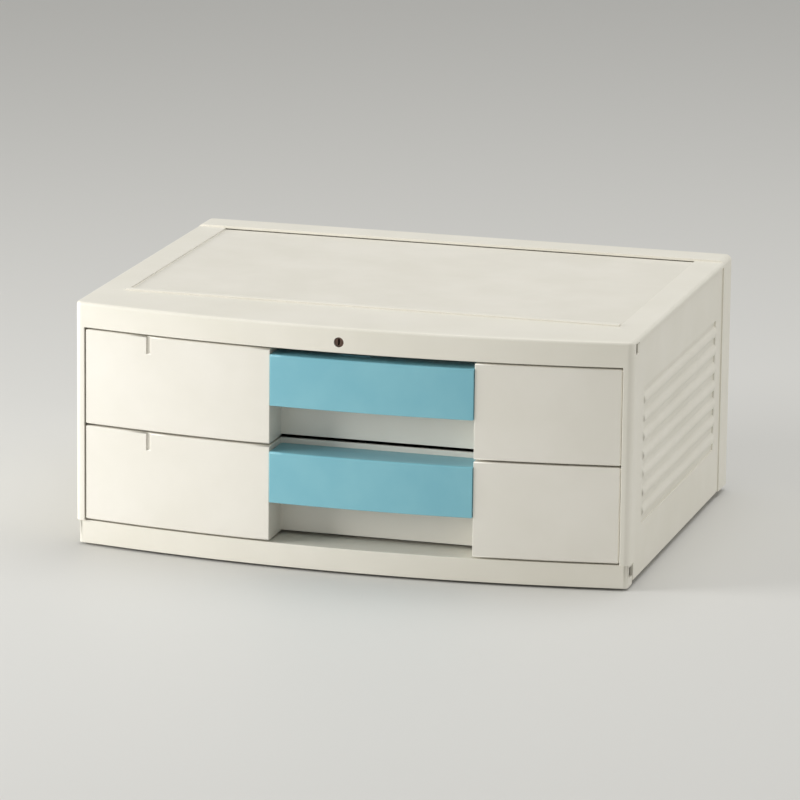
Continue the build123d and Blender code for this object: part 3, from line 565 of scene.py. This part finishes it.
@dataclass
class ScrewSet:
    """Screws of one node: turned heads with a cross recess, on threaded shanks."""

    node: str
    body: str
    head_way: Triple
    countersunk: bool = False
    head_height: float = 1.8 * MM
    dome_share: float = 0.55      # height of the dome, as a share of the head's
    dome_degrees: Tuple[int, ...] = (90, 72, 54, 36, 18, 0)
    rim_share: float = 0.97       # radius below the dome, as a share of the head's
    sunk_height: float = 1.2 * MM
    sunk_shank: float = 1.5 * MM
    shank_share: float = 1.5 / 3.2
    thread_pitch: float = 1.1 * MM
    thread_depth: float = 0.3 * MM
    point_length: float = 1.4 * MM
    point_radius: float = 0.3 * MM
    least_step: float = 0.1 * MM  # from the last ridge to where the point begins
    recess_reach: float = 0.62    # of the head's radius
    recess_width: float = 0.9 * MM
    recess_depth: float = 1.0 * MM
    recess_taper: float = 0.6     # width at the bottom, as a share of the width at the top
    recess_turn: float = 5.0      # degrees, which keeps the cross off the facet lines of the head
    smooth_degrees: float = 28.0
    sides: int = 24
    slot: str = "screw_steel"

    def build(self) -> bpy.types.Object:
        """Builds the node's screws as one piece, which replaces it.

        Returns:
            The new piece.
        """
        mesh = bmesh.new()
        cutter = bmesh.new()
        way = Vector(self.head_way)
        for low, high in islands(self.node):
            self.add_screw(mesh, cutter, low, high, self.outward(way, low, high))
        piece = finish_mesh(mesh, self.node + "_turned", self.smooth_degrees)
        cut_away(piece, finish_mesh(cutter, self.node + "_recesses"))
        shade(piece.data, self.smooth_degrees)
        return hand_over(piece, self.node, self.body, self.slot)

    def outward(self, way: Vector, low: Vector, high: Vector) -> Vector:
        """Direction from shank to head: for screws in a pair of side walls it points to the middle.

        Args:
            way: The node's own direction.
            low: Lowest corner of the screw's box.
            high: Highest corner of the screw's box.

        Returns:
            The direction for this screw.
        """
        middle = (low + high) / 2
        if way.x and middle.x:
            return Vector((-math.copysign(1.0, middle.x), 0.0, 0.0))
        return way

    def add_screw(self, mesh: bmesh.types.BMesh, cutter: bmesh.types.BMesh, low: Vector, high: Vector,
                  way: Vector) -> None:
        """Adds one screw, and the cross that is cut from its head.

        Args:
            mesh: Gets the screw.
            cutter: Gets the cross.
            low: Lowest corner of the screw's box.
            high: Highest corner of the screw's box.
            way: Direction from shank to head.
        """
        size = high - low
        span = abs(size.dot(way))
        across = [abs(size[axis]) for axis in range(3) if abs(way[axis]) < ALONG_AXIS]
        head = max(across) / 2
        shank = self.sunk_shank if self.countersunk else head * self.shank_share
        middle = (low + high) / 2
        top = middle + way * (span / 2)
        if self.countersunk:
            profile = [(0.0, 0.0), (head, 0.0), (shank, -self.sunk_height)]
            root = -self.sunk_height
        else:
            rise = self.dome_share * self.head_height
            dome = [(head * math.cos(turn), -rise + rise * math.sin(turn))
                    for turn in (math.radians(step) for step in self.dome_degrees)]
            dome[0] = (0.0, 0.0)    # exactly on the axis, which the cosine of 90 degrees isn't
            root = -self.head_height
            profile = dome + [(head * self.rim_share, root), (shank, root)]
        profile += self.thread(shank, root, -span)
        place = axis_frame(top, way)
        turned(mesh, profile, self.sides, place)
        self.add_recess(cutter, place, head * self.recess_reach)

    def add_recess(self, cutter: bmesh.types.BMesh, place: Matrix, reach: float) -> None:
        """Adds one cross recess as a single closed solid, tapered towards its bottom.

        Args:
            cutter: Gets the cross.
            place: Takes +Z from the origin to the head's way from its top.
            reach: From the middle of the cross to the end of an arm.
        """
        cross = bmesh.new()
        bmesh.ops.create_cube(cross, size=self.recess_width)
        sides = [face for face in cross.faces if abs(face.normal.z) < ALONG_AXIS]
        for arm in bmesh.ops.extrude_discrete_faces(cross, faces=sides)["faces"]:
            out = arm.calc_center_median().normalized()
            bmesh.ops.translate(cross, vec=out * (reach - self.recess_width / 2), verts=arm.verts)
        for vert in cross.verts:
            narrowing = self.recess_taper if vert.co.z < 0 else 1.0
            height = math.copysign(self.recess_depth, vert.co.z)
            vert.co = Vector((vert.co.x * narrowing, vert.co.y * narrowing, height))
        add_solid(cutter, cross, place @ Matrix.Rotation(math.radians(self.recess_turn), 4, "Z"))

    def thread(self, shank: float, root: float, tip: float) -> List[Tuple[float, float]]:
        """Profile of the threaded shank, ridge by ridge, and its point.

        Args:
            shank: Radius of the crests.
            root: Height where the shank starts.
            tip: Height of the point.

        Returns:
            Radius and height of each point.
        """
        points = [(shank, root)]
        end = tip + self.point_length
        count = max(0, int((root - end) / self.thread_pitch))
        for ridge in range(count):
            height = root - (ridge + 0.5) * self.thread_pitch
            points.append((shank - self.thread_depth, height))
            points.append((shank, height - 0.5 * self.thread_pitch))
        points += [(shank - self.thread_depth, min(end, points[-1][1] - self.least_step)),
                   (self.point_radius, tip), (0.0, tip)]
        return points


@dataclass
class Foot:
    """Moulded rubber foot: rounded skirt, hollow tread with two grooves, barbed spigot."""

    node: str
    body: str = "cabinet"
    seat_wall: float = 3.0 * MM
    spigot_radius: float = 4.0 * MM
    spigot_tip: float = 0.8       # radius at its end, as a share of its own
    barb_radius: float = 5.0 * MM
    barb_taper: float = 0.98      # radius above its edge, as a share of its own
    skirt_round: float = 1.6 * MM
    skirt_degrees: Tuple[float, ...] = (0, 22.5, 45, 67.5, 90)
    skirt_top: float = 0.985      # radii below and at the shoulder, as shares of the foot's
    shoulder: float = 0.95
    chamfer: float = 0.5 * MM     # height of the shoulder and of the barb's edge
    hollow_radius: float = 3.4 * MM
    hollow_depth: float = 2.2 * MM
    hollow_floor: float = 0.8     # radii at the floor and at the mouth, as shares of the hollow's
    hollow_mouth: float = 1.08
    hollow_lip: float = 0.3       # height of the mouth's flare, as a share of the depth
    groove_radii: Tuple[float, ...] = (4.9 * MM, 6.5 * MM)
    groove_half: float = 0.35 * MM
    groove_floor: float = 0.6     # width of the floor, as a share of the mouth's
    groove_depth: float = 0.6 * MM
    smooth_degrees: float = 32.0
    sides: int = 48
    slot: str = "foot_rubber"

    def build(self) -> bpy.types.Object:
        """Builds the foot, which replaces its node.

        Returns:
            The new piece.
        """
        low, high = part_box(self.node)
        radius = (high.x - low.x) / 2
        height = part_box("side_panel_right")[0].z
        barb_low = height + self.seat_wall
        profile = [(0.0, self.hollow_depth), (self.hollow_radius * self.hollow_floor, self.hollow_depth),
                   (self.hollow_radius, self.hollow_depth * self.hollow_lip),
                   (self.hollow_radius * self.hollow_mouth, 0.0)]
        floor_half = self.groove_half * self.groove_floor
        for groove in self.groove_radii:
            profile += [(groove - self.groove_half, 0.0), (groove - floor_half, self.groove_depth),
                        (groove + floor_half, self.groove_depth), (groove + self.groove_half, 0.0)]
        corner = radius - self.skirt_round
        profile += [(corner + self.skirt_round * math.sin(turn), self.skirt_round * (1 - math.cos(turn)))
                    for turn in (math.radians(step) for step in self.skirt_degrees)]
        profile += [(radius * self.skirt_top, height - self.chamfer), (radius * self.shoulder, height),
                    (self.spigot_radius, height), (self.spigot_radius, barb_low),
                    (self.barb_radius, barb_low),
                    (self.barb_radius * self.barb_taper, barb_low + self.chamfer),
                    (self.spigot_radius * self.spigot_tip, high.z), (0.0, high.z)]
        mesh = bmesh.new()
        middle = (low + high) / 2
        turned(mesh, profile, self.sides, Matrix.Translation((middle.x, middle.y, 0.0)))
        piece = finish_mesh(mesh, self.node + "_moulded", self.smooth_degrees)
        return hand_over(piece, self.node, self.body, self.slot)


@dataclass
class Cabinet:
    """Everything that stays still: shells, base, runners, screws and feet."""

    body: str = "cabinet"
    shells: Tuple[str, ...] = ("front_bezel", "side_panel_left", "side_panel_right", "back_cover")
    screws: Tuple[Tuple[str, Triple, bool], ...] = (
        ("back_screws", (0.0, 1.0, 0.0), False),
        ("top_screws", (0.0, 0.0, -1.0), False),
        ("base_screws", (0.0, 0.0, -1.0), False),
        ("runner_screws", (1.0, 0.0, 0.0), True),
        ("lock_screws", (0.0, 1.0, 0.0), False),
    )

    def build(self) -> None:
        """Builds the cabinet's pieces in order."""
        Shells(self.body, self.shells, "cabinet_ivory").build()
        (top,) = Shells(self.body, ("top_panel",), "cabinet_ivory").build()
        TopField(top).dress()
        Shells(self.body, ("base_panel",), "cabinet_ivory", edge_radius=0.4 * MM).build()
        runners = ["runner_" + level + "_" + hand for level in LEVELS for hand in HANDS]
        Shells(self.body, runners, "runner_plastic", edge_radius=0.4 * MM).build()
        Shells(self.body, ("lock_barrel",), "lock_zinc", edge_radius=0.2 * MM).build()
        for node, way, countersunk in self.screws:
            ScrewSet(node, self.body, way, countersunk).build()
        for row in ("front", "rear"):
            for hand in HANDS:
                Foot("foot_" + row + "_" + hand, self.body).build()


@dataclass
class Drawer:
    """One drawer: bowed front, hooded pull, tray, dividers and the screws that join them."""

    level: str

    def build(self) -> None:
        """Builds the drawer's pieces in order."""
        body = "drawer_" + self.level
        Shells(body, ("drawer_front_" + self.level,), "drawer_ivory").build()
        Shells(body, ("pull_" + self.level,), "pull_blue", edge_radius=0.6 * MM).build()
        Shells(body, ("tray_" + self.level,), "tray_plastic", edge_radius=0.45 * MM).build()
        dividers = ["divider_" + self.level + "_" + hand for hand in HANDS]
        Shells(body, dividers, "tray_plastic", edge_radius=0.4 * MM).build()
        ScrewSet("front_screws_" + self.level, body, (0.0, 1.0, 0.0)).build()


@dataclass
class Lock:
    """The part of the lock that turns: keyed plug, cam and its screw."""

    body: str = "lock"

    def build(self) -> None:
        """Builds the lock's pieces in order."""
        Shells(self.body, ("lock_plug",), "plug_dark", edge_radius=0.22 * MM, shortest=0.0).build()
        Shells(self.body, ("lock_cam",), "lock_zinc", edge_radius=0.25 * MM, shortest=0.0).build()
        ScrewSet("cam_screw", self.body, (0.0, 1.0, 0.0)).build()


@dataclass(frozen=True)
class Softbox:
    """A square soft light that points at the chest."""

    name: str
    place: Triple
    size: float
    watts: float
    aim_height: float = 0.1

    def hang(self) -> None:
        """Makes the light and hangs it in its place."""
        lamp = bpy.data.lights.new(self.name, "AREA")
        lamp.shape = "SQUARE"
        lamp.size = self.size
        lamp.energy = self.watts
        lamp_object = bpy.data.objects.new(self.name, lamp)
        lamp_object.location = self.place
        towards = Vector((0.0, 0.0, self.aim_height)) - Vector(self.place)
        lamp_object.rotation_euler = towards.to_track_quat("-Z", "Y").to_euler()
        bpy.context.scene.collection.objects.link(lamp_object)


@dataclass
class Studio:
    """Plain pale floor, soft light and the camera at the photograph's angle."""

    softboxes: Tuple[Softbox, ...] = (
        Softbox("low_key", (-1.9, -0.95, 0.55), 1.0, 40.0),
        Softbox("right_fill", (2.6, 0.6, 0.9), 1.6, 9.0),
        Softbox("overhead", (0.5, 0.3, 2.6), 2.0, 29.0),
    )
    surround_colour: str = "#E6E6E4"
    surround_strength: float = 0.58
    floor_half: float = 9.0
    floor_colour: str = "#D6D5D1"
    floor_roughness: float = 0.6
    azimuth: float = 15.93        # degrees, as the next two
    elevation: float = 13.56
    roll: float = 0.67
    distance: float = 4.494
    aim: Triple = (0.001, -0.0194, 0.0992)
    focal_px: float = 5551.7
    picture_px: float = 800.0
    axis_drop_px: float = 7.0
    sensor: float = 36.0          # millimetres, as a camera's data has it
    clip_end: float = 50.0

    def build(self) -> None:
        """Makes the floor, the lights, the world and the camera."""
        self.lay_floor()
        for softbox in self.softboxes:
            softbox.hang()
        self.set_world()
        self.place_camera()

    def lay_floor(self) -> None:
        """Lays a large plain floor at ground level."""
        mesh = bmesh.new()
        bmesh.ops.create_grid(mesh, x_segments=1, y_segments=1, size=self.floor_half)
        floor = finish_mesh(mesh, "floor")
        surface = bpy.data.materials.new("matt_paper_floor")
        surface.use_nodes = True
        shader = surface.node_tree.nodes["Principled BSDF"]
        shader.inputs["Base Color"].default_value = linear_rgba(self.floor_colour)
        shader.inputs["Roughness"].default_value = self.floor_roughness
        floor.data.materials.append(surface)

    def set_world(self) -> None:
        """Even pale surroundings that fill the shadows."""
        world = bpy.data.worlds.new("pale_room")
        world.use_nodes = True
        surround = world.node_tree.nodes["Background"]
        surround.inputs["Color"].default_value = linear_rgba(self.surround_colour)
        surround.inputs["Strength"].default_value = self.surround_strength
        bpy.context.scene.world = world

    def place_camera(self) -> None:
        """Puts the camera where the photograph was taken from, with its long lens."""
        turn, lift, tilt = (math.radians(v) for v in (self.azimuth, self.elevation, self.roll))
        back = Vector((math.sin(turn) * math.cos(lift), -math.cos(turn) * math.cos(lift), math.sin(lift)))
        level = (-back).cross(Vector((0.0, 0.0, 1.0))).normalized()
        upright = level.cross(-back)
        right = math.cos(tilt) * level + math.sin(tilt) * upright
        up = right.cross(-back)
        data = bpy.data.cameras.new("camera")
        data.sensor_width = self.sensor
        data.lens = self.focal_px / self.picture_px * self.sensor
        data.shift_y = self.axis_drop_px / self.picture_px
        data.clip_end = self.clip_end
        camera = bpy.data.objects.new("camera", data)
        camera.matrix_world = Matrix.Translation(Vector(self.aim) + back * self.distance) @ Matrix(
            (right, up, back)).transposed().to_4x4()
        bpy.context.scene.collection.objects.link(camera)
        bpy.context.scene.camera = camera


def dress_solids() -> None:
    """Gives every solid of the frame its slot's finish, which shows if no piece replaces it."""
    for part in frame["record"]["subparts"]:
        dress(frame["nodes"][part["node"]], SLOT_FINISHES[part["material_slot"]])


def main() -> None:
    """Builds and dresses the chest."""
    logging.basicConfig(level=logging.INFO, format="%(name)s: %(message)s")
    scene = bpy.context.scene
    scene.view_settings.view_transform = "Standard"
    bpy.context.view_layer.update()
    Studio().build()
    dress_solids()
    Cabinet().build()
    for level in LEVELS:
        Drawer(level).build()
    Lock().build()
    bpy.context.view_layer.update()


if __name__ == "__main__":
    main()
